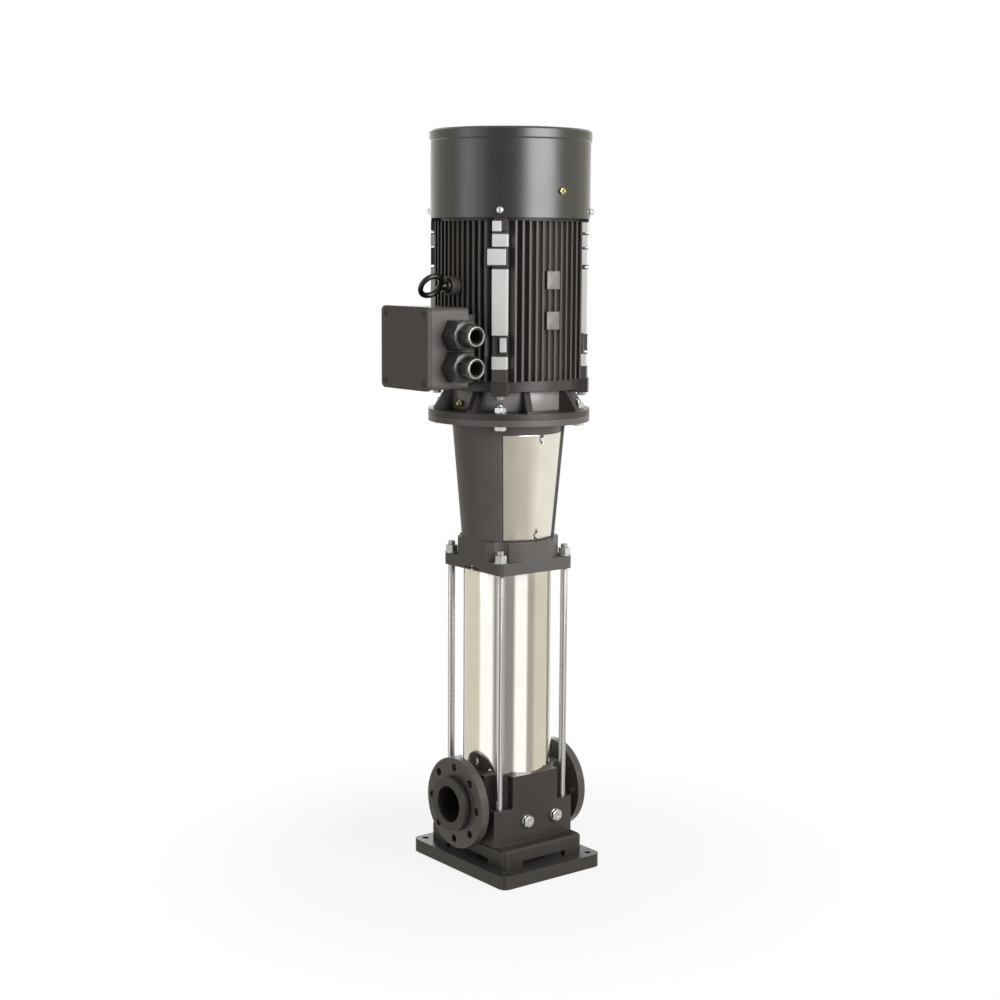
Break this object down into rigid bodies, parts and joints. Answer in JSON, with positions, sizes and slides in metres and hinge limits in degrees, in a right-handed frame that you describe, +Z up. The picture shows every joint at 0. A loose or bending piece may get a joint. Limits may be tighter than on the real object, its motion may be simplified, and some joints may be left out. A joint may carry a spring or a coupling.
{
  "type": "multistage centrifugal pump",
  "caption": "Tall in-line pump: stacked impellers in a polished sleeve held by stay bolts, flanged ports on one axis, and a finned motor with terminal box on top.",
  "frame": {"origin": "middle of the underside of the base plate", "axes": "+Z up along the shaft, -X towards the inlet port and the terminal box, +X towards the outlet port, -Y towards the drain plugs and the cable glands"},
  "size_m": [0.4555, 0.3585, 1.6045],
  "materials": {
    "cast_paint": "satin dark grey paint on iron",
    "cover_paint": "gloss dark grey paint on sheet",
    "plate_paint": "satin dark grey paint on iron",
    "polished_steel": "polished stainless",
    "sheet_steel": "brushed stainless sheet",
    "zinc_steel": "zinc plated",
    "bare_steel": "turned",
    "core_steel": "laminated",
    "copper_wire": "lacquered",
    "brass_fitting": "turned",
    "seal_rubber": "matte",
    "black_plastic": "moulded",
    "gland_plastic": "moulded"
  },
  "bodies": {
    "pump": {"base_plate": "plate_paint", "foot_screws": "zinc_steel", "pump_casing": "cast_paint", "inlet_flange": "cast_paint", "outlet_flange": "cast_paint", "drain_plugs": "zinc_steel", "outer_sleeve": "polished_steel", "sleeve_o_rings": "seal_rubber", "stay_bolts": "zinc_steel", "stay_bolt_nuts": "zinc_steel", "pump_head": "cast_paint", "vent_plug": "zinc_steel", "inlet_part": "polished_steel", "top_bracket": "polished_steel", "bearing_bush": "bare_steel", "seal_seat": "bare_steel", "seal_cover": "polished_steel", "seal_screws": "zinc_steel", "motor_stool": "cast_paint", "stool_screws": "zinc_steel", "coupling_guards": "sheet_steel", "guard_screws": "zinc_steel", "flange_bolts": "zinc_steel", "flange_nuts": "zinc_steel", "drive_end_shield": "cast_paint", "shield_bolts": "zinc_steel", "stator_frame": "cast_paint", "stator_core": "core_steel", "stator_windings": "copper_wire", "bearing_outer_rings": "bare_steel", "fan_end_shield": "cast_paint", "fan_cover": "cover_paint", "fan_cover_screws": "zinc_steel", "terminal_box": "cast_paint", "terminal_box_lid": "cover_paint", "lid_screws": "zinc_steel", "terminal_board": "black_plastic", "gland_bodies": "gland_plastic", "gland_nuts": "gland_plastic", "lifting_eye": "zinc_steel", "grease_nipples": "brass_fitting", "stage_chamber_1": "polished_steel", "stage_chamber_2": "polished_steel", "stage_chamber_3": "polished_steel", "stage_chamber_4": "polished_steel", "stage_chamber_5": "polished_steel"},
    "rotor": {"pump_shaft": "bare_steel", "shaft_spacers": "bare_steel", "rotating_seal": "bare_steel", "coupling_halves": "bare_steel", "coupling_screws": "zinc_steel", "motor_shaft": "bare_steel", "rotor_core": "core_steel", "bearing_inner_rings": "bare_steel", "cooling_fan": "black_plastic", "impeller_1": "polished_steel", "impeller_2": "polished_steel", "impeller_3": "polished_steel", "impeller_4": "polished_steel", "impeller_5": "polished_steel"}
  },
  "joints": [
    {"name": "shaft_spin", "type": "hinge", "parent": "pump", "child": "rotor", "pos_m": [0, 0, 0.9], "axis": [0, 0, 1], "continuous": true}
  ]
}
